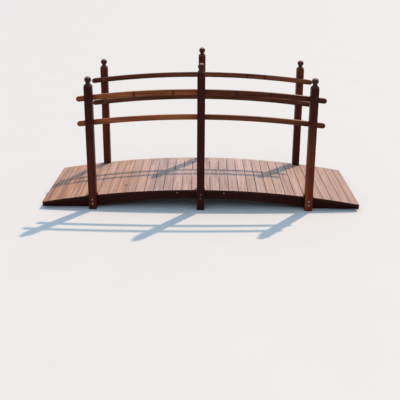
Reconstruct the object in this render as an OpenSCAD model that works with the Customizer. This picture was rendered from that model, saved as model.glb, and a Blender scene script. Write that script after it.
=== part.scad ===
// Garden moon bridge: a low arched footbridge of stained softwood. Two bowed
// stringers carry the deck boards, and six posts with turned ball tops, bolted to
// the stringers, carry two bowed rails on each side.
// X runs along the walk, Y across it from the near side to the far side, Z up.
// The origin is on the ground, under the middle of the bridge.

/* [Deck] */
// Deck boards on each half of the bridge
half_boards = 17; // [14:1:20]
// Width of a deck board, along the walk
board_w = 62; // [50:1:80]
// Gap between two deck boards
board_gap = 3; // [2:0.5:8]
// Thickness of a deck board
board_t = 16; // [12:1:24]
// Length of a deck board past the outer face of a stringer
board_overhang = 40; // [20:1:50]
// Radius of the eased long edges of a deck board
board_ease = 2; // [1:0.5:4]
// Height of the walking surface at its two ends
deck_end_z = 47.5; // [40:0.5:90]
// Rise of the walking surface from its ends to the middle
deck_rise = 98.5; // [60:0.5:180]

/* [Stringers] */
// Distance over the outer faces of the two stringers
stringer_spread = 640; // [500:5:900]
// Thickness of a stringer
stringer_t = 30; // [20:1:45]
// Depth of a stringer in the middle
stringer_depth = 62; // [45:1:80]
// Length of the flat foot at each end of a stringer
foot_l = 335; // [200:5:450]
// Length of a stringer past the last deck board
stringer_nose = 8; // [3:1:30]

/* [Cross beams] */
// Deck board, counted from the middle, that a cross beam lies under
beam_board = 3; // [2:1:6]
// Width of a cross beam, along the walk
beam_w = 34; // [20:1:50]
// Height of a cross beam
beam_h = 40; // [25:1:45]

/* [Posts] */
// Side of a square post
post_w = 52; // [40:1:60]
// Height of a middle post over the walking surface, to the top of its ball
middle_post_rise = 876; // [700:1:1100]
// Height of an end post over the walking surface, to the top of its ball
end_post_rise = 828; // [650:1:1050]
// Deck board, counted from the middle, that lies between the end posts
post_board = 12; // [8:1:13]
// Radius of the eased edges of a post
post_ease = 2; // [1:0.5:5]
// Gap between a post and the boards cut to pass it
notch_gap = 1.5; // [0.5:0.5:4]

/* [Ball tops] */
// Diameter of the ball
ball_d = 46; // [34:1:54]
// Diameter of the neck under the ball
neck_d = 28; // [18:1:32]
// Length of the straight part of the neck
neck_h = 5; // [2:1:12]
// Height of the turned shoulder, in the middle of a post's face
shoulder_h = 13; // [8:1:30]

/* [Rails] */
// Height of a rail's section
rail_h = 36; // [22:1:45]
// Thickness of a rail
rail_t = 20; // [15:1:35]
// Radius of the eased edges of a rail
rail_ease = 4; // [1:0.5:7]
// Height of the top rail's centre line over the walking surface, in the middle
top_rail_rise = 676; // [600:1:800]
// Height of the lower rail's centre line over the walking surface, in the middle
lower_rail_rise = 505; // [350:1:560]
// Length of a rail past the middle of an end post
rail_overhang = 90; // [60:1:150]

/* [Hidden] */
// Facets of a full circle: small turned work, and the long bows of the bridge
turned_fn = 64;
bow_fn = 1440;
// Overrun of a cutting shape past the faces that it cuts
cut = 1;

// Every bow has its centre below the middle of the bridge, and angles on it are
// counted from there to the right, in degrees.
function arc_angle(s, r) = s / r * 180 / PI;
// Rise of the bow of radius r whose arc length from the middle to an end is s
function arc_rise(r, s) = r * (1 - cos(arc_angle(s, r)));
// Radius of the bow with half the arc length s and the rise h, found in steps:
// each scales the last radius by the rise that it gives
function arc_radius(s, h, r, steps = 12) =
    steps == 0 ? r : arc_radius(s, h, r * arc_rise(r, s) / h, steps - 1);
// Radius of the bow over half the chord c, with the rise h
function chord_radius(c, h) = (c * c + h * h) / (2 * h);

// The walking surface
pitch = board_w + board_gap;
deck_s = half_boards * pitch - board_gap / 2;
deck_r = arc_radius(deck_s, deck_rise, deck_s * deck_s / (2 * deck_rise));
crown_z = deck_end_z + deck_rise;
bow_z = crown_z - deck_r;
board_l = stringer_spread + 2 * board_overhang;
function board_angle(i) = arc_angle((i - 0.5) * pitch, deck_r);

// The stringers: their tops are the bow under the boards
stringer_top_r = deck_r - board_t;
stringer_half_l = deck_r * sin(arc_angle(deck_s, deck_r)) + stringer_nose;
stringer_y = stringer_spread / 2;
arch_rise = crown_z - board_t - stringer_depth;
arch_r = chord_radius(stringer_half_l - foot_l, arch_rise);

// The posts stand against the outer faces of the stringers
post_y = stringer_y + post_w / 2;
end_post_x = deck_r * sin(board_angle(post_board));
end_post_deck_z = bow_z + deck_r * cos(board_angle(post_board));
post_places = [["left", -end_post_x, end_post_deck_z + end_post_rise],
               ["middle", 0, crown_z + middle_post_rise],
               ["right", end_post_x, end_post_deck_z + end_post_rise]];
socket_w = post_w + 2 * notch_gap;
socket_y = stringer_y - notch_gap;

// Post tops, measured down from the top of the ball. The shoulder is a cone: it
// meets the neck, and runs out at the corners of the square post.
neck_r = neck_d / 2;
corner_r = post_w / 2 * sqrt(2);
neck_top = ball_d / 2 + sqrt(pow(ball_d / 2, 2) - pow(neck_r, 2));
neck_bottom = neck_top + neck_h;
cone_h = shoulder_h * (corner_r - neck_r) / (post_w / 2 - neck_r);

// The rails have the bow of the walking surface, and lie against the inner faces
// of the posts. Their round ends are part of their length.
rail_y = stringer_y - rail_t / 2;
rail_end_r = rail_h / 2;
rail_tip_angle = asin((end_post_x + rail_overhang - rail_end_r) / deck_r);
rail_places = [["top", bow_z + top_rail_rise], ["lower", bow_z + lower_rail_rise]];

// Sides of the bridge
nears_and_fars = [["near", -1], ["far", 1]];
lefts_and_rights = [["left", -1], ["right", 1]];

// Plain boards lie two to a node, between the middle and the end posts, and on the
// ramps outside the end posts. Each pair is its first and last board.
function board_pairs(first, last) = [for (i = [first:2:last]) [i, min(i + 1, last)]];
plain_pairs = concat(board_pairs(2, post_board - 1), board_pairs(post_board + 1, half_boards));
function pair_name(side, pair) =
    pair[0] == pair[1]
        ? str("deck_board_", side, "_", pair[0])
        : str("deck_boards_", side, "_", pair[0], "_", pair[1]);

// Stands an X-Z outline up and gives it the thickness t, centred on y
module plate(y, t) {
    translate([0, y + t / 2, 0]) rotate([90, 0, 0]) linear_extrude(t) children();
}

// Rectangle w by h with its corners rounded to r, centred on the origin
module eased_rect(w, h, r) {
    square([w - 2 * r, h], center = true);
    square([w, h - 2 * r], center = true);
    for (x = [-1, 1]) for (y = [-1, 1])
        translate([x * (w / 2 - r), y * (h / 2 - r)]) circle(r, $fn = turned_fn);
}

// Bowed side beam: its top follows the undersides of the boards, and its arch
// underneath springs from a flat foot at each end
module stringer(side) {
    color("#4a2a20") plate(side * (stringer_y - stringer_t / 2), stringer_t)
        intersection() {
            difference() {
                translate([0, bow_z]) circle(stringer_top_r, $fn = bow_fn);
                translate([0, arch_rise - arch_r]) circle(arch_r, $fn = bow_fn);
            }
            translate([-stringer_half_l, 0]) square([2 * stringer_half_l, crown_z]);
        }
}

// Beam between the stringers, square to the bow, with its top shaped to it
module cross_beam(side) {
    color("#4a2a20") plate(0, stringer_spread - 2 * stringer_t)
        translate([0, bow_z]) intersection() {
            circle(stringer_top_r, $fn = bow_fn);
            rotate(-side * board_angle(beam_board))
                translate([-beam_w / 2, stringer_top_r - beam_h]) square([beam_w, beam_h + cut]);
        }
}

// Square post that runs down to the ground, its top turned to a ball on a neck
module post(side, place) {
    h = place[2];
    color("#5a3226") translate([place[1], side * post_y, 0]) {
        intersection() {
            linear_extrude(h - neck_bottom) eased_rect(post_w, post_w, post_ease);
            union() {
                cylinder(h - neck_bottom - cone_h, r = corner_r, $fn = turned_fn);
                translate([0, 0, h - neck_bottom - cone_h])
                    cylinder(cone_h, r1 = corner_r, r2 = neck_r, $fn = turned_fn);
            }
        }
        translate([0, 0, h - neck_bottom]) cylinder(neck_bottom - ball_d / 2, r = neck_r, $fn = turned_fn);
        translate([0, 0, h - ball_d / 2]) sphere(d = ball_d, $fn = turned_fn);
    }
}

// Half of a bowed rail with eased edges, from the middle to the right. Its round
// end is turned over the height of the section.
module half_rail() {
    intersection() {
        rotate(-rail_tip_angle) {
            rotate(90) rotate_extrude(angle = 1.5 * rail_tip_angle, $fn = bow_fn)
                translate([deck_r, 0]) eased_rect(rail_h, rail_t, rail_ease);
            translate([0, deck_r]) rotate(-90) rotate_extrude(angle = 180, $fn = turned_fn)
                intersection() {
                    eased_rect(rail_h, rail_t, rail_ease);
                    translate([0, -rail_t / 2]) square([rail_end_r, rail_t]);
                }
        }
        translate([0, 0, -rail_t]) cube([deck_r, deck_r + rail_h, 2 * rail_t]);
    }
}

// Bowed rail on the inner faces of the posts
module rail(side, place) {
    color("#6b3b29") translate([0, side * rail_y, place[1]]) rotate([90, 0, 0]) {
        half_rail();
        mirror([1, 0, 0]) half_rail();
    }
}

// One deck board of length l in its place on the bow: i counts from the middle
module board_blank(side, i, l) {
    translate([0, 0, bow_z]) rotate([0, side * board_angle(i), 0])
        translate([0, 0, deck_r - board_t / 2])
            plate(0, l) eased_rect(board_w, board_t, board_ease);
}

// Room that the boards leave round the posts
module post_sockets() {
    for (n = nears_and_fars) for (p = post_places)
        translate([p[1] - socket_w / 2, n[1] > 0 ? socket_y : -socket_y - board_l, 0])
            cube([socket_w, board_l, crown_z + cut]);
}

// Boards from the first to the last of a pair, notched where a post is in their way
module deck_boards(side, pair) {
    color("#b58a74") for (i = [pair[0]:pair[1]])
        difference() {
            board_blank(side, i, board_l);
            post_sockets();
        }
}

// Board next to the middle, notched round half of each middle post
module crown_board(side) {
    deck_boards(side, [1, 1]);
}

// Board between two end posts, cut short to pass between them
module end_post_board(side) {
    color("#b58a74") board_blank(side, post_board, 2 * socket_y);
}

for (n = nears_and_fars) {
    stringer(n[1]);
    for (p = post_places)
        post(n[1], p);
    for (r = rail_places)
        rail(n[1], r);
}
for (s = lefts_and_rights) {
    cross_beam(s[1]);
    crown_board(s[1]);
    end_post_board(s[1]);
    for (p = plain_pairs)
        deck_boards(s[1], p);
}
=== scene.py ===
# %% [markdown]
# # Dressing a moon bridge
# A moon bridge is a low wooden arch for a garden. Two bowed stringers carry a deck of short boards, six
# posts stand beside them, and bowed rails run from post to post. The frame already holds every piece at
# its real size, so this lesson is about what a joiner and the weather do to it: stained timber with its
# grain, sawn boards that are never quite flat, worn edges, and the screws that hold it together.

# %% Load the bridge
import random
from math import atan2, cos, degrees, pi, radians, sin

import bmesh
import bpy
import numpy as np
from mathutils import Matrix, Vector


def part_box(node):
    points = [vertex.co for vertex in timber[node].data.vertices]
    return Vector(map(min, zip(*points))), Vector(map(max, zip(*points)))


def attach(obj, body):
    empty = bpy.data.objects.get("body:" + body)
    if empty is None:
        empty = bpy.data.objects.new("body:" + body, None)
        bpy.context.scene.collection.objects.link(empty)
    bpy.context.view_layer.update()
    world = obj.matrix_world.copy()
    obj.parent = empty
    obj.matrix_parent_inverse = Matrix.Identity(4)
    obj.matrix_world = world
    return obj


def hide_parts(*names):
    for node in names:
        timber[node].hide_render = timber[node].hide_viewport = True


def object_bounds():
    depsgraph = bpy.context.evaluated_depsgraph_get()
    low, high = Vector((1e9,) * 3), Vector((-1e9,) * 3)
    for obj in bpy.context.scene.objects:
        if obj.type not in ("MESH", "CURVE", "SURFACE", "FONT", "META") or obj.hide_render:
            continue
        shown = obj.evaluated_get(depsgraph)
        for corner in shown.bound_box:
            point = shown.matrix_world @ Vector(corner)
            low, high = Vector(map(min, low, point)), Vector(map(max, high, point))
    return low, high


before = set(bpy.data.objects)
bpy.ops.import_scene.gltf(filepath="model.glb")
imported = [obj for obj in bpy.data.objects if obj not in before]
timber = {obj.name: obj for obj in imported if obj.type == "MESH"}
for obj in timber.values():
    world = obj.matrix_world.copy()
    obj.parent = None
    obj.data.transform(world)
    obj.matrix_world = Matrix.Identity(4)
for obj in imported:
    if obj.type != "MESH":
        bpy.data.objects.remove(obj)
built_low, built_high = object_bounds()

print(len(timber), "pieces of timber, from", built_low[:], "to", built_high[:])

# %% [markdown]
# ## The camera
# The photograph was taken from about head height, a few steps back on the near side. A straight object
# gives its camera away: where its parallel edges meet gives the lens, and how its near and far rails
# cover each other gives the height. The numbers say where the camera's eye is, in metres, and how far the
# camera is turned, tilted down and rolled, in degrees.

# %% Set up the camera
IMAGE_SIDE = 400
FOCAL_PIXELS = 639.1
OPTICAL_ROW = 141
SENSOR = 36.0
EYE = Vector((0.0302, -4.4685, 1.7290))
TURN, TILT, ROLL = 0.505, 16.695, 0.357


def place_in_scene(name, data):
    made = bpy.data.objects.new(name, data)
    bpy.context.scene.collection.objects.link(made)
    return made


lens = bpy.data.cameras.new("camera")
lens.sensor_width = SENSOR
lens.lens = FOCAL_PIXELS / IMAGE_SIDE * SENSOR
lens.shift_y = (OPTICAL_ROW - IMAGE_SIDE / 2) / IMAGE_SIDE
camera = place_in_scene("camera", lens)
aim = Matrix.Rotation(radians(TURN), 4, "Z") @ Matrix.Rotation(radians(90 - TILT), 4, "X")
camera.matrix_world = Matrix.Translation(EYE) @ aim @ Matrix.Rotation(radians(ROLL), 4, "Z")
bpy.context.scene.camera = camera
print("camera", round(EYE.length, 2), "m from the origin, lens", round(lens.lens, 1), "mm")

# %% [markdown]
# ## A bench for shader nodes
# Every finish on the bridge is a recipe of shader nodes, and so is the light of the studio. Clicking
# nodes together is fine for one material, but many pieces here differ only a little, so a small class
# does it: it adds a node, feeds its sockets in order, and has a short name for each step that comes back
# in every recipe. A Mix node has several sockets of the same name, for numbers, points and colours, so
# those for colours are picked by their number.

# %% Set up the bench
MIX_SOCKETS, MIX_RESULT = (0, 6, 7), 2


class Recipe:
    """Shader nodes, put together one step at a time."""

    def __init__(self, tree):
        self.tree = tree

    def feed(self, socket, value):
        if isinstance(value, bpy.types.NodeSocket):
            self.tree.links.new(value, socket)
        elif isinstance(value, tuple) and socket.type == "RGBA":
            socket.default_value = (*value, 1.0)
        else:
            socket.default_value = value

    def node(self, kind, *values, **settings):
        made = self.tree.nodes.new("ShaderNode" + kind)
        for setting, choice in settings.items():
            setattr(made, setting, choice)
        for socket, value in zip(made.inputs, values):
            self.feed(socket, value)
        return made

    def reckon(self, step, first, second=0.0, third=0.0):
        return self.node("Math", first, second, third, operation=step).outputs[0]

    def times(self, first, second):
        return self.reckon("MULTIPLY", first, second)

    def plus(self, first, second):
        return self.reckon("ADD", first, second)

    def point(self, x, y, z):
        return self.node("CombineXYZ", x, y, z).outputs[0]

    def parts(self, point):
        return self.node("SeparateXYZ", point).outputs

    def shift(self, place, way):
        return self.node("VectorMath", place, way, operation="ADD").outputs[0]

    def length(self, arrow):
        return self.node("VectorMath", arrow, operation="LENGTH").outputs["Value"]

    def stretch(self, place, lengthwise, crosswise):
        factors = (lengthwise, crosswise, crosswise)
        return self.node("VectorMath", place, factors, operation="MULTIPLY").outputs[0]

    def cloud(self, place, detail=2.0):
        made = self.node("TexNoise")
        self.feed(made.inputs["Vector"], place)
        self.feed(made.inputs["Scale"], 1.0)
        self.feed(made.inputs["Detail"], detail)
        return made.outputs

    def ease(self, value, low, high, start=0.0, end=1.0):
        made = self.node("MapRange", value, low, high, start, end, interpolation_type="SMOOTHSTEP")
        return made.outputs[0]

    def blend(self, share, first, second, how="MIX"):
        made = self.node("Mix", data_type="RGBA", blend_type=how)
        for number, value in zip(MIX_SOCKETS, (share, first, second)):
            self.feed(made.inputs[number], value)
        return made.outputs[MIX_RESULT]

    def tint(self, share, colour, tone):
        return self.blend(share, colour, tone, "MULTIPLY")


# %% [markdown]
# ## Studio light
# On the deck lie the shadows of the far posts and rails, and they point to the lower left. So one strong
# warm lamp stands behind the bridge on the right, as high as the shadows say. The shadows are bluish and
# not very dark, while faces that look to the side are almost black: so the rest of the light is cool and
# comes mostly from overhead. A world whose colour depends on height gives that: it blends from dim walls
# to a bright top. Only a narrow band right at the horizon is as pale as the floor, so that a low view
# doesn't end in a dark strip.

# %% Light the studio
TOWARDS_LAMP = Vector((0.334, 0.419, 0.833))
LAMP_STRENGTH = 2.95
LAMP_COLOUR = (1.0, 0.76, 0.56)
LAMP_SPREAD = radians(1.4)
WALLS, OVERHEAD = (0.17, 0.17, 0.18), (0.98, 1.36, 1.72)
DOME_POWER = 2.0
HORIZON = (0.84, 0.826, 0.82)
HORIZON_BAND = (0.05, 0.20)

lamp = bpy.data.lights.new("key_lamp", "SUN")
lamp.energy = LAMP_STRENGTH
lamp.angle = LAMP_SPREAD
lamp.color = LAMP_COLOUR
key = place_in_scene("key_lamp", lamp)
key.rotation_mode = "QUATERNION"
key.rotation_quaternion = TOWARDS_LAMP.to_track_quat("Z", "Y")

world = bpy.data.worlds.new("studio")
world.use_nodes = True
studio = Recipe(world.node_tree)
height = studio.parts(studio.node("TexCoord").outputs["Generated"])["Z"]
upward = studio.node("Math", height, DOME_POWER, operation="POWER", use_clamp=True).outputs[0]
dome = studio.blend(upward, WALLS, OVERHEAD)
skirted = studio.blend(studio.ease(height, *HORIZON_BAND, 1.0, 0.0), dome, HORIZON)
studio.feed(world.node_tree.nodes["Background"].inputs["Color"], skirted)
bpy.context.scene.world = world
bpy.context.scene.view_settings.view_transform = "Standard"
print("lamp", round(degrees(TOWARDS_LAMP.angle(Vector((0, 0, 1))))), "degrees from overhead")

# %% [markdown]
# ## A finish
# A finish is a recipe that ends in a Principled shader. Linking its sockets by hand takes a line each
# time, so a finish adds a few short steps to the bench: paint feeds one of the shader's sockets, emboss
# turns a height into a bump, and here and facing give the place on the piece and the way its face looks.

# %% Mix a finish


class Finish(Recipe):
    """One procedural material."""

    def __init__(self, name):
        self.material = bpy.data.materials.new(name)
        self.material.use_nodes = True
        super().__init__(self.material.node_tree)
        self.skin = self.tree.nodes["Principled BSDF"]

    def paint(self, socket, value):
        self.feed(self.skin.inputs[socket], value)

    def emboss(self, relief, strength, depth):
        bump = self.node("Bump", strength, depth)
        self.feed(bump.inputs["Height"], relief)
        self.paint("Normal", bump.outputs[0])

    def here(self):
        return self.node("TexCoord").outputs["Object"]

    def facing(self):
        return self.node("NewGeometry").outputs["Normal"]


# %% [markdown]
# ## What wood looks like inside
# A piece of timber is cut from a log, and everything on its faces comes from there: growth rings round
# the heart, fibres along it, branches that leave knots. A flat picture of planks would not fit round a
# turned ball or an end. This recipe works in the log itself: it takes a place measured along the log and
# across from its heart, and lets rings, fibres and knots come out wherever a face happens to cut them.
# A name that ends in GRAIN says how many of a thing come to a metre, along the log and across it.

# %% Grow the wood
RING_GAP = 0.0042
LATE_WOOD, RING_END = (0.3, 0.85), (0.92, 1.0)
DRIFT, DRIFT_GRAIN = 0.014, (1.4, 5.0)
KNOT_SHARE, KNOT_EDGE, BRANCH_GRAIN = 0.64, (0.055, 0.085), (4.0, 7.0)
SWELLING, SWELLING_EDGE = 3.0 * RING_GAP, (0.0, 0.4)
FIBRE_GRAIN, STREAK_GRAIN, BLOTCH_GRAIN = (20.0, 620.0), (2.2, 52.0), (3.0, 9.0)
FINE_DETAIL = 3.0


def grow_wood(finish, place):
    """Rings, fibres, streaks, blotches and knots at a place in the log, each from 0 to 1."""
    drift = finish.stretch(finish.cloud(finish.stretch(place, *DRIFT_GRAIN))["Color"], DRIFT, DRIFT)
    heart_distance = finish.length(finish.stretch(finish.shift(place, drift), 0.0, 1.0))
    branches = finish.node("TexVoronoi")
    finish.feed(branches.inputs["Vector"], finish.stretch(place, *BRANCH_GRAIN))
    finish.feed(branches.inputs["Scale"], 1.0)
    off_branch = branches.outputs["Distance"]
    chance = finish.parts(branches.outputs["Color"])[0]
    present = finish.reckon("GREATER_THAN", chance, KNOT_SHARE)
    swelling = finish.times(present, finish.ease(off_branch, *SWELLING_EDGE, SWELLING, 0.0))
    pushed = finish.plus(heart_distance, swelling)
    ring = finish.reckon("FRACT", finish.reckon("DIVIDE", pushed, RING_GAP))
    return {
        "late": finish.times(finish.ease(ring, *LATE_WOOD), finish.ease(ring, *RING_END, 1.0, 0.0)),
        "fibre": finish.cloud(finish.stretch(place, *FIBRE_GRAIN), FINE_DETAIL)[0],
        "streak": finish.cloud(finish.stretch(place, *STREAK_GRAIN), FINE_DETAIL)[0],
        "blotch": finish.cloud(finish.stretch(place, *BLOTCH_GRAIN))[0],
        "knot": finish.times(present, finish.ease(off_branch, *KNOT_EDGE, 1.0, 0.0)),
    }


# %% [markdown]
# ## A log for each framing piece
# The posts, stringers, beams and rails are each sawn from a log of their own, and the grain runs along
# the piece. One log for all would be easier, but then the same rings would come back on every post. So
# each piece draws where it lies in its log: how far along, and how far the heart is from its middle. The
# ball is the top of a post, and what follows asks often where it begins.

# %% Lay each piece in its log
GRAIN_ORDER = {"X": (0, 1, 2), "Y": (1, 0, 2), "Z": (2, 0, 1)}
HEART_ASIDE, HEART_OFF, ALONG_LOG = (-0.02, 0.02), (0.045, 0.07), (2.0, 9.0)
BALL_HEIGHT = 0.047


class FramingFinish(Finish):
    """The finish of one framing piece, with the wood of its own log."""

    def __init__(self, name, grain, seed):
        super().__init__(name + "_stain")
        draw = random.Random(seed)
        heart = (draw.uniform(*HEART_ASIDE), draw.choice((-1, 1)) * draw.uniform(*HEART_OFF))
        offsets = (-draw.uniform(*ALONG_LOG), *heart)
        low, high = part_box(name)
        middle = (low + high) / 2
        axes = self.parts(self.here())
        steps = [self.reckon("SUBTRACT", axes[axis], middle[axis] + offset)
                 for axis, offset in zip(GRAIN_ORDER[grain], offsets)]
        self.wood = grow_wood(self, self.point(*steps))
        self.name = name
        self.is_post = name.startswith("post")
        self.is_rail = name.startswith("rail")
        self.run = GRAIN_ORDER[grain][0]
        self.spot = axes[self.run]
        self.start, self.end = low[self.run], high[self.run]
        self.ball_foot = self.end - BALL_HEIGHT

    def at_ball(self, reach, below, above):
        return self.ease(self.spot, self.ball_foot - reach, self.ball_foot + reach, below, above)


# %% [markdown]
# ## How warm the stain is
# The framing is brushed with a red-brown stain, and some pieces are warmer than others. Posts change
# slowly from foot to top, while rails change at the middle post. So each is listed with how far its stain
# has gone from dark to warm, at either end. The balls of the posts were turned on a lathe, so end grain
# shows all round them: they soaked up more stain and are darker than the post below.

# %% Set how warm the stain is
BRUSH_OVERLAP = 0.03
POST_TOP_SHARE = 0.9
BALL_EDGE, BALL_FADING = 0.004, 0.2
# How far each piece's stain goes from dark to warm, at its start and at its end.
WARMTH_AT_ENDS = {
    "rail_near_top": (0.86, 0.17), "rail_near_lower": (0.84, 0.40),
    "rail_far_top": (0.24, 0.42), "rail_far_lower": (0.28, 0.22),
    "post_near_left": (0.16, 0.0), "post_near_right": (0.47, 0.0),
    "post_far_left": (0.20, 0.28), "post_far_middle": (0.15, 0.15), "post_far_right": (0.08, 0.23),
}


def dark_to_warm(finish):
    """How far a piece's stain has gone from dark, 0, to warm, 1."""
    change = (finish.start, POST_TOP_SHARE * finish.end)
    if finish.is_rail:
        change = (-BRUSH_OVERLAP, BRUSH_OVERLAP)
    warm_share = finish.ease(finish.spot, *change, *WARMTH_AT_ENDS.get(finish.name, (0.0, 0.0)))
    if finish.is_post:
        warm_share = finish.times(warm_share, finish.at_ball(BALL_EDGE, 1.0, BALL_FADING))
    return warm_share


# %% [markdown]
# ## The colour of the stain
# Stain soaks in unevenly: late wood, fibres and knots take more and go darker. One brown all over would
# look like paint, so the recipe starts from the dark and the warm stain and multiplies it by a tone for
# each thing that the wood does. The top rails also have spike knots, where the saw ran along a branch and
# left a dark band across the face. Their places are listed along the rail.

# %% Soak the stain in
DARK, POST_WARM = (0.047, 0.0094, 0.0060), (0.39, 0.077, 0.019)
RAIL_WARM = {"near": (0.375, 0.114, 0.041), "far": (0.345, 0.118, 0.053)}
BLOTCHED, LATE_STAINED, FIBRE_STAINED = (0.8, 0.72, 0.7), (0.5, 0.42, 0.4), (0.72, 0.68, 0.66)
KNOT_BROWN = (0.018, 0.006, 0.004)
SPIKE_KNOTS = {"rail_near_top": (-0.447, -0.187, 0.240, 0.462), "rail_far_top": (0.345, 0.475)}
SPIKE_EDGE, SPIKE_WAVE = (0.003, 0.013), 0.02


def soak(finish, warm_share):
    """The stain's colour on a piece, with the wood showing through."""
    wood = finish.wood
    warm = RAIL_WARM[finish.name.split("_")[1]] if finish.is_rail else POST_WARM
    patchy = finish.ease(wood["streak"], 0.3, 0.7, 0.45, 1.55)
    colour = finish.blend(finish.times(warm_share, patchy), DARK, warm)
    colour = finish.tint(finish.ease(wood["blotch"], 0.35, 0.7), colour, BLOTCHED)
    colour = finish.tint(finish.times(wood["late"], 0.55), colour, LATE_STAINED)
    colour = finish.tint(finish.ease(wood["fibre"], 0.35, 0.65), colour, FIBRE_STAINED)
    colour = finish.blend(wood["knot"], colour, KNOT_BROWN)
    for knot_place in SPIKE_KNOTS.get(finish.name, ()):
        wavy = finish.reckon("MULTIPLY_ADD", wood["streak"], SPIKE_WAVE, finish.spot)
        past_knot = finish.reckon("SUBTRACT", wavy, knot_place + SPIKE_WAVE / 2)
        spike = finish.ease(finish.reckon("ABSOLUTE", past_knot), *SPIKE_EDGE, 0.7, 0.0)
        colour = finish.blend(spike, colour, KNOT_BROWN)
    return colour


# %% [markdown]
# ## Dusty tops with a painted highlight, and dark ends
# The tops of the rails face the sky and are paler, more on some rails than on others: partly dust and
# bleaching, partly a painted highlight where the lamp catches them. The crowns of the balls carry the
# same dust and painted highlight. Ends drink more stain and stay dark. Painting these places by hand
# would fail from the next side, so the recipe asks which way a face looks: up, or along the grain.

# %% Weather the tops and ends, with a painted highlight on the tops
# Paler tones for tops that face up: dust and bleaching, with a painted highlight.
BLEACHED_AND_LIT, BLEACHED_AND_LIT_WARM = (0.38, 0.265, 0.22), (0.40, 0.185, 0.09)
END_TONE = (0.5, 0.45, 0.42)
# How much dust and painted highlight goes on the balls, on the rails' tops and elsewhere, from end to
# end.
BALL_DUST_AND_HIGHLIGHT, DUST_AND_SHEEN_ELSEWHERE = (0.1, 0.75), (0.15, 0.15)
TOP_DUST_AND_SHEEN = {
    "rail_near_top": (0.6, 1.4), "rail_near_lower": (0.1, 1.0),
    "rail_far_top": (0.25, 0.35), "rail_far_lower": (0.25, 0.35),
}


def gather_dust_and_sheen(finish, skyward):
    """How much dust and painted highlight a piece carries on its tops, from 0 to 1."""
    if finish.is_post:
        dust_and_highlight = finish.ease(finish.spot, finish.ball_foot, finish.end, *BALL_DUST_AND_HIGHLIGHT)
    else:
        ends = TOP_DUST_AND_SHEEN.get(finish.name, DUST_AND_SHEEN_ELSEWHERE)
        dust_and_highlight = finish.ease(finish.spot, finish.start, finish.end, *ends)
    in_fibre = finish.times(dust_and_highlight, finish.ease(finish.wood["fibre"], 0.2, 0.6, 0.55, 1.0))
    return finish.times(skyward, in_fibre)


def weather(finish, colour, warm_share):
    """A piece's colour with its top paler from dust and a painted highlight, its ends dark, and the share
    of dust and highlight.
    """
    facing = finish.parts(finish.facing())
    skyward = finish.ease(facing[2], 0.35, 0.95)
    dust_and_sheen = gather_dust_and_sheen(finish, skyward)
    colour = finish.blend(dust_and_sheen, colour, finish.blend(warm_share, BLEACHED_AND_LIT, BLEACHED_AND_LIT_WARM))
    end_grain = finish.ease(finish.reckon("ABSOLUTE", facing[finish.run]), 0.8, 0.98)
    in_end = finish.times(end_grain, finish.ease(skyward, 0.0, 1.0, 0.6, 0.0))
    return finish.tint(in_end, colour, END_TONE), dust_and_sheen


# %% [markdown]
# ## Rubbed arrises and shine
# Hands and shoes rub the stain off the arrises first, in patches. A Bevel node finds them: it rounds the
# surface in thought, and where the rounded face looks another way than the real one, an arris is near.
# Brushed stain is almost dull, and duller still under dust. A specular level lower than the usual half
# gives that. The balls were sanded smooth, so they get a thin clear coat that ends at their foot.

# %% Rub the arrises and set the shine
ARRIS_REACH = 0.0035
RUBBED = (0.22, 0.085, 0.045)
STAIN_SHINE = 0.08
STAIN_ROUGHNESS, LATE_SMOOTHER, DUST_ROUGHER = (0.42, 0.56), -0.06, 0.12
BALL_SHINE, BALL_SHINE_EDGE = 0.35, 0.002
COAT_ROUGHNESS, COAT_TINT = 0.36, (1.0, 0.86, 0.82)


def rub_arrises(finish, colour):
    """A piece's colour with paler patches on its arrises."""
    rounded = finish.node("Bevel", ARRIS_REACH, samples=4).outputs[0]
    likeness = finish.node("VectorMath", rounded, finish.facing(), operation="DOT_PRODUCT")
    on_arris = finish.ease(likeness.outputs["Value"], 0.9, 0.99, 1.0, 0.0)
    patches = finish.times(on_arris, finish.ease(finish.wood["streak"], 0.4, 0.62))
    return finish.blend(finish.times(patches, 0.6), colour, RUBBED)


def shine(finish, dust_and_sheen):
    """Sets how much a piece shines."""
    rough = finish.ease(finish.wood["fibre"], 0.3, 0.7, *STAIN_ROUGHNESS)
    rough = finish.plus(rough, finish.times(finish.wood["late"], LATE_SMOOTHER))
    finish.paint("Roughness", finish.plus(rough, finish.times(dust_and_sheen, DUST_ROUGHER)))
    finish.paint("Specular IOR Level", STAIN_SHINE)
    if finish.is_post:
        finish.paint("Coat Weight", finish.at_ball(BALL_SHINE_EDGE, 0.0, BALL_SHINE))
        finish.paint("Coat Roughness", COAT_ROUGHNESS)
        finish.paint("Coat Tint", COAT_TINT)


# %% [markdown]
# ## Brushing on the stain
# Now the steps come together on every framing piece, each laid over the one before: the stain with the
# wood showing through it, then the dust with its painted highlight and the dark ends, then the rubbed
# arrises. Fibres and late wood stand a little proud, because the soft wood between them wears away first.

# %% Brush on the stain
GRAIN_RUNS = {"post": "Z", "stringer": "X", "rail": "X", "cross": "Y"}
FIRST_LOG_SEED = 11
STAIN_RELIEF = (0.5, 0.0006)


def stain(name, grain, seed):
    """Gives a framing piece its own stained finish."""
    finish = FramingFinish(name, grain, seed)
    warm_share = dark_to_warm(finish)
    colour, dust_and_sheen = weather(finish, soak(finish, warm_share), warm_share)
    finish.paint("Base Color", rub_arrises(finish, colour))
    shine(finish, dust_and_sheen)
    relief = finish.plus(finish.wood["fibre"], finish.times(finish.wood["late"], 0.5))
    finish.emboss(relief, *STAIN_RELIEF)
    for slot in timber[name].material_slots:
        slot.material = finish.material


for number, name in enumerate(sorted(timber)):
    kind = name.split("_")[0]
    if kind in GRAIN_RUNS and "board" not in name:
        stain(name, GRAIN_RUNS[kind], number + FIRST_LOG_SEED)
        print(name, "grain along", GRAIN_RUNS[kind])

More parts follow.
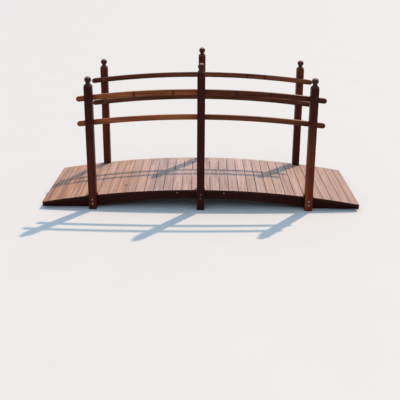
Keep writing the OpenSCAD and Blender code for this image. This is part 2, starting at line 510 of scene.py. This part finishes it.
# %% [markdown]
# ## Joining many small meshes
# Boards and screws come in dozens. Each is worked out at its own bench as points and faces, and then a
# whole set is joined into one mesh, which is lighter than dozens of objects. The points may carry marks,
# such as the place on the board, and the joined mesh keeps them as attributes for the finish to read.

# %% Join meshes


def join_pieces(name, pieces, marks=()):
    """One object from pieces that each give points, faces, the faces' finish numbers and marks."""
    mesh = bpy.data.meshes.new(name)
    starts = np.cumsum([0] + [len(piece["points"]) for piece in pieces])
    faces = [[int(start) + corner for corner in face]
             for start, piece in zip(starts, pieces) for face in piece["faces"]]
    mesh.from_pydata(np.vstack([piece["points"] for piece in pieces]).tolist(), [], faces)
    finishes = np.concatenate([piece["finishes"] for piece in pieces])
    mesh.polygons.foreach_set("material_index", finishes)
    mesh.shade_smooth()
    for mark, kind in marks:
        values = np.concatenate([np.ravel(piece[mark]) for piece in pieces]).astype(np.float32)
        attribute = mesh.attributes.new(mark, kind, "POINT")
        attribute.data.foreach_set("vector" if kind == "FLOAT_VECTOR" else "value", values)
    mesh.update()
    return place_in_scene(name, mesh)


# %% [markdown]
# ## Taking the deck apart
# The deck is thirty-four boards laid on the bow, each square to it. The frame keeps most of them in
# pairs, two boards to a node, so each node is first taken apart into loose boards. Blender could separate
# them into objects, but only their corners are needed here, so the script walks from corner to corner
# along the edges itself.

# %% Take the deck apart
TOUCHING = 0.00001


def loose_boards(name):
    """The corner points of each board in a deck node, from left to right."""
    mesh = bmesh.new()
    mesh.from_mesh(timber[name].data)
    bmesh.ops.remove_doubles(mesh, verts=mesh.verts, dist=TOUCHING)
    waiting = set(mesh.verts)
    boards = []
    while waiting:
        to_visit = [waiting.pop()]
        board = set(to_visit)
        while to_visit:
            for edge in to_visit.pop().link_edges:
                fresh = waiting.intersection(edge.verts)
                waiting -= fresh
                board |= fresh
                to_visit.extend(fresh)
        boards.append(np.array([corner.co for corner in board]))
    mesh.free()
    return sorted(boards, key=lambda corners: corners[:, 0].mean())


# %% [markdown]
# ## Measuring the boards
# The middle, lean, length, width and thickness of every board are read from its own corners, so a board
# always fits the place that the frame gives it. The lean is the direction in which the corners spread
# most, seen from the side. The two boards at the crown are sawn out round the middle posts, and that cut
# is read in the same way: it is where the board's ends stop short of its full width.

# %% Measure the boards
HAIR = 0.0005
SMALLEST_CUT = 5 * HAIR
MILLIMETRES = 1000


def measure_board(corners):
    """A board's place, lean and sizes, and the cut in its ends if it has one."""
    x, y, z = (corners - corners.mean(0)).T
    lean = 0.5 * atan2(2 * (x * z).mean(), (x * x).mean() - (z * z).mean())
    turn = np.array(Matrix.Rotation(-lean, 3, "Y"))
    local = corners @ turn
    low, high = local.min(0), local.max(0)
    middle = (low + high) / 2
    local -= middle
    half = (high - low) / 2
    at_end = local[half[1] - abs(local[:, 1]) < HAIR]
    board = {"turn": turn, "middle": middle, "half": half, "cut": None}
    for side in (-1, 1):
        reach = (at_end[:, 0] * side).max()
        if half[0] - reach > SMALLEST_CUT:
            beyond = local[local[:, 0] * side > reach + SMALLEST_CUT]
            board["cut"] = (side, reach, abs(beyond[:, 1]).max())
    return board


deck = {name: [measure_board(corners) for corners in loose_boards(name)]
        for name in sorted(timber) if "board" in name}
for name, boards in deck.items():
    for board in boards:
        width, length, thickness = (round(2 * MILLIMETRES * float(half), 1) for half in board["half"])
        print(name, width, "by", length, "by", thickness, "mm", "with a cut" if board["cut"] else "")

# %% [markdown]
# ## Planing the boards
# A sawn and planed board is almost a box, but light finds the difference on its eased arrises. A cube
# with a bevel would do for a whole board, but not for one with a cut, and it has no points in between
# that could move. So each board starts as a grid of small cells, with the cells round a post left out.
# The grid is pulled down to the board's thickness, and its sharp edges are rounded.

# %% Plane a board
ARRIS = 0.0018
CELL_LONG = 0.018
CELLS_WIDE = 7
TOO_NEAR_CUT = 0.3
SHARP = 1.0


def grid_lines(half, spacing, cuts):
    """Even lines from edge to edge, except where a cut has a line of its own."""
    count = max(2, round(2 * half / spacing))
    lines = [-half + 2 * half * step / count for step in range(count + 1)]
    kept = [line for line in lines if all(abs(line - cut) > TOO_NEAR_CUT * spacing for cut in cuts)]
    return sorted(kept + cuts)


def lay_grid(mesh, board):
    """Lays the cells of a board's top, without those that a post goes through."""
    wide, long, thick = board["half"]
    side, cut_reach, cut_start = board["cut"] or (0, 0.0, 0.0)
    across_lines = grid_lines(wide, 2 * wide / CELLS_WIDE, [side * cut_reach] if side else [])
    along_lines = grid_lines(long, CELL_LONG, [-cut_start, cut_start] if side else [])
    corners = {(a, l): mesh.verts.new((a, l, thick)) for a in across_lines for l in along_lines}
    for a, next_a in zip(across_lines, across_lines[1:]):
        for l, next_l in zip(along_lines, along_lines[1:]):
            in_reach = (a + next_a) / 2 * side > cut_reach
            if not (side and in_reach and abs(l + next_l) / 2 > cut_start):
                places = (a, l), (next_a, l), (next_a, next_l), (a, next_l)
                mesh.faces.new([corners[place] for place in places])
    unused = [corner for corner in mesh.verts if not corner.link_faces]
    bmesh.ops.delete(mesh, geom=unused, context="VERTS")


def plane_board(board):
    """A board's mesh, lying flat round its middle."""
    mesh = bmesh.new()
    lay_grid(mesh, board)
    top = list(mesh.faces)
    for lower in bmesh.ops.extrude_face_region(mesh, geom=top, use_keep_orig=True)["geom"]:
        if isinstance(lower, bmesh.types.BMVert):
            lower.co.z = -board["half"][2]
    bmesh.ops.recalc_face_normals(mesh, faces=mesh.faces)
    sharp = [edge for edge in mesh.edges if edge.calc_face_angle(0.0) > SHARP]
    bmesh.ops.bevel(mesh, geom=sharp, offset=ARRIS, segments=2, profile=0.5,
                    affect="EDGES", clamp_overlap=True)
    mesh.verts.index_update()
    mesh.normal_update()
    return mesh


# %% [markdown]
# ## Boards that have dried
# No board stays flat. It cups as it dries, its top rises and falls by a hair along its length, and its
# width wanders a little. Noise on every point would look rough and not warped, so the points follow a
# few smooth waves, seeded board by board. They move only inwards, so no board outgrows its place. Each
# point keeps marks for the finish: its place on the board, and where the board lies in its log.

# %% Saw a board
CUP = (0.0002, 0.0006)
WAVE = 0.00012
WAVE_PACE = (4, 16)
BOARD_HEART = ((-40, 40), (-0.02, 0.02), (0.03, 0.07))
END_ON = 0.8


def warp(local, board, draw):
    """A board's points, moved as drying wood moves."""
    wide, thick = board["half"][0], board["half"][2]
    across, along, up = local.T
    share = (up / thick + 1) / 2
    cup = draw.uniform(*CUP) * (across / wide) ** 2
    waves = [(draw.uniform(*WAVE_PACE), draw.uniform(0, 2 * pi)) for _ in range(3)]
    roll = sum(WAVE * (1 + np.sin(pace * along + phase)) for pace, phase in waves)
    wander = WAVE * (np.sin(waves[0][0] * along + waves[1][1]) - 1)
    moved = local.copy()
    moved[:, 2] -= share * (cup + roll)
    moved[:, 0] += across / wide * wander
    return moved


def saw_board(board, seed):
    """Points, faces and marks of one deck board, in its place on the bow."""
    draw = random.Random(seed)
    mesh = plane_board(board)
    local = np.array([corner.co for corner in mesh.verts])
    faces = [[corner.index for corner in face.verts] for face in mesh.faces]
    at_ends = [abs(face.normal.y) > END_ON for face in mesh.faces]
    mesh.free()
    across, along, up = local.T
    placed = (warp(local, board, draw) + board["middle"]) @ board["turn"].T
    heart = [draw.uniform(*reach) for reach in BOARD_HEART]
    return {
        "points": placed,
        "faces": faces,
        "finishes": np.array(at_ends, np.int32),
        "plank": np.column_stack([along, across, up]),
        "log": np.tile(heart, (len(local), 1)),
    }


# %% [markdown]
# ## Why the boards differ
# The deck has not faded evenly. The boards on the left ramp keep most of their orange, and more towards
# its end, the right ramp keeps a little, and the middle has gone to a greyish pink. Each board therefore
# carries a warmth, worked out from where it lies, and a shade, because no two boards came from the same
# tree. Both have a seeded draw, and the two seeds were picked so that light and dark boards follow each
# other as on the real deck. The boards at the two ends are also darker, most on the left.

# %% Choose how each board has aged
RAMP_LEFT, RAMP_RIGHT, END_BOARDS = -0.36, 0.42, 0.88
LEFT_WARMTH, LEFT_GAIN, LEFT_FADE = 0.43, 0.37, 0.45
RIGHT_WARMTH, MIDDLE_WARMTH = 0.31, 0.07
# How much darker the end boards are, on the left and on the right.
END_DARKENING_LEFT, END_DARKENING_RIGHT = 0.65, 0.45


def warmth_at(share):
    """How much orange a board keeps: most on the left ramp, least in the middle."""
    if share < RAMP_LEFT:
        return LEFT_WARMTH + LEFT_GAIN * min((RAMP_LEFT - share) / LEFT_FADE, 1.0)
    return RIGHT_WARMTH if share > RAMP_RIGHT else MIDDLE_WARMTH


def end_darkening_at(share):
    """How much darker a board is: the two at either end, and most on the left."""
    if abs(share) < END_BOARDS:
        return 0.0
    return END_DARKENING_LEFT if share < 0 else END_DARKENING_RIGHT


# The last number printed is how much darker the end boards are.
for share in (-1.0, -0.5, 0.0, 0.5, 1.0):
    print("at", share, "of half the length, warmth", round(warmth_at(share), 2),
          "and dirt", end_darkening_at(share))

# %% [markdown]
# ## Laying the deck
# Each joined piece of the deck stands for the node that its boards were measured from, so it replaces
# that node and rides with the frame. A Weighted Normal modifier keeps the broad faces flat to the light
# while the eased arrises stay round.

# %% Lay the deck
shades, warmths = random.Random(242355), random.Random(968703)
DEEPEST_SHADE, WARMTH_SPREAD = 0.67, 0.12
FIRST_BOARD_SEED = 100
DECK_MARKS = (("plank", "FLOAT_VECTOR"), ("log", "FLOAT_VECTOR"),
              ("shade", "FLOAT"), ("warmth", "FLOAT"), ("trodden", "FLOAT"))
deck_pieces = []
board_seed = FIRST_BOARD_SEED
for name, boards in deck.items():
    sawn = []
    for board in boards:
        made = saw_board(board, board_seed)
        count = len(made["points"])
        share = made["points"][:, 0].mean() / built_high.x
        made["shade"] = np.full(count, DEEPEST_SHADE * shades.random())
        made["warmth"] = np.full(count, warmth_at(share) + warmths.uniform(-WARMTH_SPREAD, WARMTH_SPREAD))
        made["trodden"] = np.full(count, end_darkening_at(share))
        sawn.append(made)
        board_seed += 1
    piece = join_pieces(name.replace("board", "plank"), sawn, DECK_MARKS)
    piece.modifiers.new("even_shading", "WEIGHTED_NORMAL")
    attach(piece, "root")
    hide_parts(name)
    deck_pieces.append(piece)
print(len(deck_pieces), "deck pieces,", sum(len(piece.data.polygons) for piece in deck_pieces), "faces")

# %% [markdown]
# ## Worn tops
# Feet and sun have taken the stain off the tops. One finish serves the whole deck: it reads each board's
# own place, log, shade and warmth from the marks, so the grain starts anew on every board. A finish for
# each board would say the same thing thirty-four times. On the warmest boards the old stain still lies
# thick in streaks.

# %% Wear the tops
PALE, DEEP = (0.625, 0.471, 0.441), (0.335, 0.250, 0.232)
ORANGE = (0.59, 0.325, 0.19)
END_DARKER = (0.80, 0.76, 0.79)
THICK_STAIN = (0.74, 0.62, 0.54)
STREAKED, BLOTCHY = (0.78, 0.70, 0.67), (0.86, 0.82, 0.80)
LATE_BARE, FIBRE_BARE = (0.68, 0.57, 0.52), (0.84, 0.81, 0.80)
KNOT_BARE = (0.07, 0.03, 0.018)


def mark_of(finish, name, kind):
    return finish.node("Attribute", attribute_name=name, attribute_type="GEOMETRY").outputs[kind]


def board_wood(finish, plank):
    """The wood at a place on a board."""
    return grow_wood(finish, finish.shift(plank, mark_of(finish, "log", "Vector")))


def worn_top(finish, wood):
    """The colour of a board's top, before painted light and screw dishes."""
    warmth = mark_of(finish, "warmth", "Fac")
    top = finish.blend(mark_of(finish, "shade", "Fac"), PALE, DEEP)
    streaky = finish.ease(wood["streak"], 0.3, 0.7, 1.35, 0.55)
    top = finish.blend(finish.times(warmth, streaky), top, ORANGE)
    # The end boards are made darker by their listed share.
    top = finish.tint(mark_of(finish, "trodden", "Fac"), top, END_DARKER)
    still_stained = finish.ease(warmth, 0.55, 0.78)
    thick = finish.times(still_stained, finish.ease(wood["streak"], 0.42, 0.58))
    top = finish.tint(thick, top, THICK_STAIN)
    top = finish.tint(finish.ease(wood["streak"], 0.3, 0.72), top, STREAKED)
    top = finish.tint(finish.ease(wood["blotch"], 0.4, 0.7), top, BLOTCHY)
    top = finish.tint(finish.times(wood["late"], 0.5), top, LATE_BARE)
    top = finish.tint(finish.ease(wood["fibre"], 0.35, 0.68), top, FIBRE_BARE)
    return finish.blend(finish.times(wood["knot"], 0.7), top, KNOT_BARE)


# %% [markdown]
# ## Painted light and screws
# Everywhere but on the right ramp, the boards are painted a little lighter towards the far side: this is
# painted light, and the right ramp is left darker as painted shade. Round each screw the wood is darker,
# with dirt and with painted shade of a countersunk dish that the board doesn't have. The screws stand at
# the same places on every board, so folding the board over twice, with an absolute value each way, finds
# all four.

# %% Paint light on the far side and darken round the screws
# Painted light: a lighter tone towards the far side of the boards, left off the right ramp as painted
# shade.
PAINTED_LIGHT_TONE = (0.84, 0.71, 0.67)
PAINTED_LIGHT_UP_TO, PAINTED_LIGHT_SIDE, MOST_PAINTED_LIGHT = (0.58, 0.70), (0.04, 0.12), 0.10
SCREW_IN, SCREW_ACROSS = 0.305, 0.0155
# A darker dish round each screw: dirt, and painted shade of a countersink that the board lacks.
DISH_DIRT_AND_SHADE_EDGE, DISH_DIRT_AND_SHADE, DISH_DIRT_AND_SHADE_SHARE = (0.0042, 0.0075), (0.16, 0.09, 0.07), 0.35


def painted_light_and_screw_dishes(finish, top, along, across):
    """The colour of a board's top, lighter towards the far side as painted light, with a dish of dirt and
    painted shade round each screw.
    """
    outside_painted_shade = finish.ease(finish.parts(finish.here())[0], *PAINTED_LIGHT_UP_TO, 1.0, 0.0)
    painted_light = finish.times(outside_painted_shade, finish.ease(along, *PAINTED_LIGHT_SIDE, 0.0, MOST_PAINTED_LIGHT))
    top = finish.blend(painted_light, top, PAINTED_LIGHT_TONE)
    off_along = finish.reckon("SUBTRACT", finish.reckon("ABSOLUTE", along), SCREW_IN)
    off_across = finish.reckon("SUBTRACT", finish.reckon("ABSOLUTE", across), SCREW_ACROSS)
    off_screw = finish.length(finish.point(off_along, off_across, 0.0))
    return finish.blend(finish.ease(off_screw, *DISH_DIRT_AND_SHADE_EDGE, DISH_DIRT_AND_SHADE_SHARE, 0.0), top, DISH_DIRT_AND_SHADE)


# %% [markdown]
# ## Sides of the boards
# The underside keeps its stain. So do the long sides, but towards the top they are pale: partly scuffed
# wood and partly painted light, so the gaps between the boards don't look black. Which colour shows is
# asked of the face again: whether it looks up, and whether it looks to the side.

# %% Wear the deck
# The stain kept on sides and undersides, and the pale upper sides: scuffed wood and painted light in the
# gaps.
KEPT_STAIN, SCUFFED_AND_LIT_SIDE = (0.045, 0.010, 0.006), (0.46, 0.27, 0.19)
SCUFFED_AND_LIT_FROM = (-0.003, 0.006)
DECK_ROUGHNESS, DECK_RELIEF = (0.46, 0.62), (0.55, 0.0007)


def wear_deck(name):
    """The finish of the deck's tops, sides and undersides."""
    finish = Finish(name)
    plank = mark_of(finish, "plank", "Vector")
    along, across, up = finish.parts(plank)
    wood = board_wood(finish, plank)
    top = painted_light_and_screw_dishes(finish, worn_top(finish, wood), along, across)
    facing = finish.parts(finish.facing())
    sideways = finish.ease(finish.reckon("ABSOLUTE", facing[0]), 0.4, 0.7)
    scuffed_and_lit = finish.times(sideways, finish.ease(up, *SCUFFED_AND_LIT_FROM))
    side = finish.blend(scuffed_and_lit, KEPT_STAIN, SCUFFED_AND_LIT_SIDE)
    finish.paint("Base Color", finish.blend(finish.ease(facing[2], 0.55, 0.93), side, top))
    finish.paint("Roughness", finish.ease(wood["fibre"], 0.3, 0.7, *DECK_ROUGHNESS))
    finish.emboss(finish.plus(wood["fibre"], finish.times(wood["late"], 0.6)), *DECK_RELIEF)
    return finish.material


deck_material = wear_deck("worn_deck")
for piece in deck_pieces:
    piece.data.materials.append(deck_material)
print("deck finish with", len(deck_material.node_tree.nodes), "nodes")

# %% [markdown]
# ## Stained ends
# The sawn ends drank the most stain and no shoe rubs them, so they are almost black and hardly shine.
# Wood that shines less needs a finish of its own, because the shader has one specular level for all of a
# surface. It is the same wood as on the tops, so rings and fibres show here end on. The saw gave each
# face at an end the number one, and that is the second finish of its piece.

# %% Stain the ends
END_PORES, END_ROUGHNESS = (0.75, 0.70, 0.68), (0.5, 0.65)


def stain_ends(name):
    """The finish of the boards' sawn ends."""
    finish = Finish(name)
    wood = board_wood(finish, mark_of(finish, "plank", "Vector"))
    colour = finish.blend(finish.times(wood["late"], 0.6), KEPT_STAIN, KNOT_BROWN)
    colour = finish.tint(finish.ease(wood["fibre"], 0.35, 0.65), colour, END_PORES)
    finish.paint("Base Color", colour)
    finish.paint("Roughness", finish.ease(wood["fibre"], 0.3, 0.7, *END_ROUGHNESS))
    finish.paint("Specular IOR Level", STAIN_SHINE)
    finish.emboss(wood["fibre"], *STAIN_RELIEF)
    return finish.material


end_material = stain_ends("stained_ends")
for piece in deck_pieces:
    piece.data.materials.append(end_material)
print("ends stained on", len(deck_pieces), "deck pieces")

# %% [markdown]
# ## Screws
# Zinc-plated screws hold the bridge: two through the foot of each post, one into each end of the beams,
# one from the inside through each rail at a post, and two through every board at each stringer. A head
# is turned like a shallow dome, and its drive is a six-lobed star pressed into it. Cutting the star out
# of a dome would leave ragged faces, so the head's rings are circles that change to a star towards the
# middle. The last ring and the floor inside it take the second finish.

# %% Turn a screw head
HEAD_SIDES = 24
STAR_SIZE, STAR_LOBES, LOBE_DEPTH = 0.42, 6, 0.16


def screw_head(radius, rise):
    """Points and faces of a raised head with a star drive, on the plane z = 0."""
    star = STAR_SIZE * radius
    rings = [(radius, -0.3 * rise, 0), (radius, 0.1 * rise, 0), (0.86 * radius, 0.55 * rise, 0),
             (0.62 * radius, 0.88 * rise, 0), (star, rise, 1), (0.92 * star, 0.25 * rise, 1)]
    points = []
    for ring_radius, height, lobed in rings:
        for step in range(HEAD_SIDES):
            turn = 2 * pi * step / HEAD_SIDES
            reach = ring_radius * (1 + LOBE_DEPTH * lobed * cos(STAR_LOBES * turn))
            points.append((reach * cos(turn), reach * sin(turn), height))
    faces = [tuple(reversed(range(HEAD_SIDES)))]
    for ring_start in range(0, len(points) - HEAD_SIDES, HEAD_SIDES):
        for step in range(HEAD_SIDES):
            here = ring_start + step
            beside = ring_start + (step + 1) % HEAD_SIDES
            faces.append((here, beside, beside + HEAD_SIDES, here + HEAD_SIDES))
    faces.append(tuple(range(len(points) - HEAD_SIDES, len(points))))
    finishes = np.zeros(len(faces), np.int32)
    finishes[-HEAD_SIDES - 1:] = 1
    return np.array(points), faces, finishes


def drive_screws(name, places, size, finishes):
    """Sets a screw head at each place, a point and the way it faces, as one joined piece."""
    draw = random.Random(name)
    points, faces, numbers = screw_head(*size)
    heads = []
    for spot, outward in places:
        aim = Vector(outward).to_track_quat("Z", "Y").to_matrix()
        spun = np.array(aim @ Matrix.Rotation(draw.uniform(0, pi), 3, "Z"))
        heads.append({"points": points @ spun.T + np.array(spot), "faces": faces, "finishes": numbers})
    piece = join_pieces(name, heads)
    for finish in finishes:
        piece.data.materials.append(finish)
    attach(piece, "root")
    print(name, len(places), "heads")


# %% [markdown]
# ## Zinc
# New zinc is bright, but years outdoors leave it dull, reddish and spotted, and the drive fills with
# dirt. The heads at the foot of the middle posts are the darkest. All four finishes are one recipe with
# other colours: a fine cloud of spots that are duller and rougher.

# %% Plate the screws
SPOTS_PER_METRE = 420.0
PLATING_METAL = 0.85
SPOT_ROUGHNESS = 0.2
SPOT_RELIEF = (0.3, 0.0002)


def plate(name, bright, dull, rough):
    """A plated or dirty metal with fine spots."""
    finish = Finish(name)
    place = finish.stretch(finish.here(), SPOTS_PER_METRE, SPOTS_PER_METRE)
    spots = finish.cloud(place, FINE_DETAIL)[0]
    finish.paint("Base Color", finish.blend(finish.ease(spots, 0.38, 0.62), bright, dull))
    finish.paint("Metallic", PLATING_METAL)
    finish.paint("Roughness", finish.ease(spots, 0.35, 0.65, rough, rough + SPOT_ROUGHNESS))
    finish.emboss(spots, *SPOT_RELIEF)
    return finish.material


zinc = plate("weathered_zinc", (0.72, 0.42, 0.38), (0.47, 0.25, 0.22), 0.42)
stained_zinc = plate("stained_zinc", (0.23, 0.14, 0.13), (0.15, 0.085, 0.075), 0.45)
brown_zinc = plate("browned_zinc", (0.36, 0.25, 0.20), (0.22, 0.14, 0.11), 0.45)
dirt = plate("dirt_in_drive", (0.020, 0.014, 0.011), (0.035, 0.024, 0.018), 0.75)
print("plated", zinc.name, stained_zinc.name, brown_zinc.name, "and", dirt.name)

# %% [markdown]
# ## The bow
# Deck and rails follow one arc. Its radius isn't kept in the frame, but the measured boards give it: the
# board at the crown and the one at the end are two places on the arc. From then on, how far the bow has
# dropped below its crown is known for any place along the bridge.

# %% Find the bow
middles = sorted(tuple(board["turn"] @ board["middle"]) for boards in deck.values() for board in boards)
crown_x, _, crown_height = min(middles, key=lambda middle: abs(middle[0]))
end_x, _, end_height = max(middles, key=lambda middle: abs(middle[0]))
end_drop = crown_height - end_height
bow_radius = (end_x ** 2 + end_drop ** 2) / (2 * end_drop)


def bow_drop(x):
    """How far the bow lies below its crown."""
    return bow_radius - (bow_radius ** 2 - x ** 2) ** 0.5


print("bow radius", round(bow_radius, 3), "m, crown board at", round(crown_x, 3), "m")

# %% [markdown]
# ## Driving the screws
# Every screw sits where the timber it holds crosses the timber it bites: a post over its stringer, a rail
# over its post, a board over a stringer. Those crossings are read from the bow and from the boxes of the
# pieces in the frame, so a screw always has wood behind it.

# %% Drive the screws into the framing
SIDES = (("near", -1), ("far", 1))
POST_SCREW, BEAM_SCREW = (0.0062, 0.0018), (0.005, 0.0012)
POST_SCREW_DEPTH, POST_SCREW_SPREAD = 0.037, 0.029


def middle_of(name):
    """Where the middle of a piece's box lies, along each axis."""
    low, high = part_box(name)
    return [(start + end) / 2 for start, end in zip(low, high)]


def face_of(name, outward):
    """Where a piece's face lies that looks outward, near or far."""
    low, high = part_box(name)
    return high.y if outward > 0 else low.y


for name, place_names, plating in (("end_post_screws", ("left", "right"), zinc),
                                   ("middle_post_screws", ("middle",), stained_zinc)):
    post_screws = []
    for side, outward in SIDES:
        for place in place_names:
            post = f"post_{side}_{place}"
            x = middle_of(post)[0]
            centre = crown_height - bow_drop(x) - POST_SCREW_DEPTH
            for step in (-0.5, 0.5):
                spot = (x, face_of(post, outward), centre + step * POST_SCREW_SPREAD)
                post_screws.append((spot, (0, outward, 0)))
    drive_screws(name, post_screws, POST_SCREW, (plating, dirt))

beam_screws = []
for side, outward in SIDES:
    for beam in ("cross_beam_left", "cross_beam_right"):
        x, _, z = middle_of(beam)
        spot = (x, face_of(f"stringer_{side}", outward), z)
        beam_screws.append((spot, (0, outward, 0)))
drive_screws("beam_screws", beam_screws, BEAM_SCREW, (zinc, dirt))

# %% [markdown]
# ## Screws in the rails
# The rails are screwed from the walking side, so their heads face inwards. A rail climbs along its bow,
# so the box of the rail only tells how high its top is at the crown. The height of each screw is taken
# from there, down by half the rail and by the drop of the bow where the post stands.

# %% Drive the screws into the rails
RAIL_SCREW = (0.0045, 0.001)
HALF_RAIL = 0.018
rail_screws = []
for side, outward in SIDES:
    for level in ("top", "lower"):
        rail = f"rail_{side}_{level}"
        rail_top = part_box(rail)[1].z
        for place in ("left", "middle", "right"):
            x = middle_of(f"post_{side}_{place}")[0]
            spot = (x, face_of(rail, -outward), rail_top - HALF_RAIL - bow_drop(x))
            rail_screws.append((spot, (0, -outward, 0)))
drive_screws("rail_screws", rail_screws, RAIL_SCREW, (brown_zinc, dirt))

# %% [markdown]
# ## Screws in the deck
# Two screws hold each end of a board. They are driven square to the board and so lean with it, and they
# are sunk by less than half a millimetre; round them the finish paints a darker dish of dirt and painted
# shade.

# %% Drive the screws into the deck
DECK_SCREW = (0.0042, 0.0008)
SUNK = 0.0004
deck_screws = []
for boards in deck.values():
    for board in boards:
        outward = board["turn"] @ np.array([0, 0, 1.0])
        for across in (-SCREW_ACROSS, SCREW_ACROSS):
            for along in (-SCREW_IN, SCREW_IN):
                on_board = np.array([across, along, board["half"][2] - SUNK])
                spot = board["turn"] @ (board["middle"] + on_board)
                deck_screws.append((tuple(spot), tuple(outward)))
drive_screws("deck_screws", deck_screws, DECK_SCREW, (brown_zinc, dirt))

# %% [markdown]
# ## Easing the framing's arrises
# The stringers and beams come from the frame with knife-sharp edges. A spokeshave takes a millimetre or
# so off them. A Bevel modifier does the same without touching the frame's own mesh, once a Weld modifier
# has joined its faces, and a Weighted Normal modifier keeps the flat faces flat.

# %% Ease the arrises
EASED, EASED_ABOVE = 0.0015, radians(40)

for name, piece in timber.items():
    if name.startswith(("stringer", "cross_beam")):
        piece.modifiers.new("join_faces", "WELD").merge_threshold = TOUCHING
        easing = piece.modifiers.new("ease_arrises", "BEVEL")
        easing.width = EASED
        easing.segments = 2
        easing.limit_method = "ANGLE"
        easing.angle_limit = EASED_ABOVE
        piece.modifiers.new("even_shading", "WEIGHTED_NORMAL")
        print(name, "eased by", EASED, "m")

# %% [markdown]
# ## The floor
# The bridge stands on a plain pale floor that belongs to the studio and not to the bridge. It reaches so
# far that no view finds its edge, and a faint mottle keeps it from looking like paper.

# %% Lay the floor
FLOOR_REACH = 90.0
FLOOR_SHADES = (0.605, 0.588, 0.572), (0.635, 0.618, 0.602)
FLOOR_ROUGHNESS = 0.75
MOTTLE = 2.0

floor_mesh = bpy.data.meshes.new("floor")
ways = (-1, -1), (1, -1), (1, 1), (-1, 1)
floor_mesh.from_pydata([(x * FLOOR_REACH, y * FLOOR_REACH, 0.0) for x, y in ways], [], [(0, 1, 2, 3)])
floor = place_in_scene("floor", floor_mesh)
floor_finish = Finish("pale_floor")
mottle = floor_finish.cloud(floor_finish.stretch(floor_finish.here(), MOTTLE, MOTTLE))[0]
floor_finish.paint("Base Color", floor_finish.blend(mottle, *FLOOR_SHADES))
floor_finish.paint("Roughness", FLOOR_ROUGHNESS)
floor_mesh.materials.append(floor_finish.material)
print("floor", 2 * FLOOR_REACH, "m across")
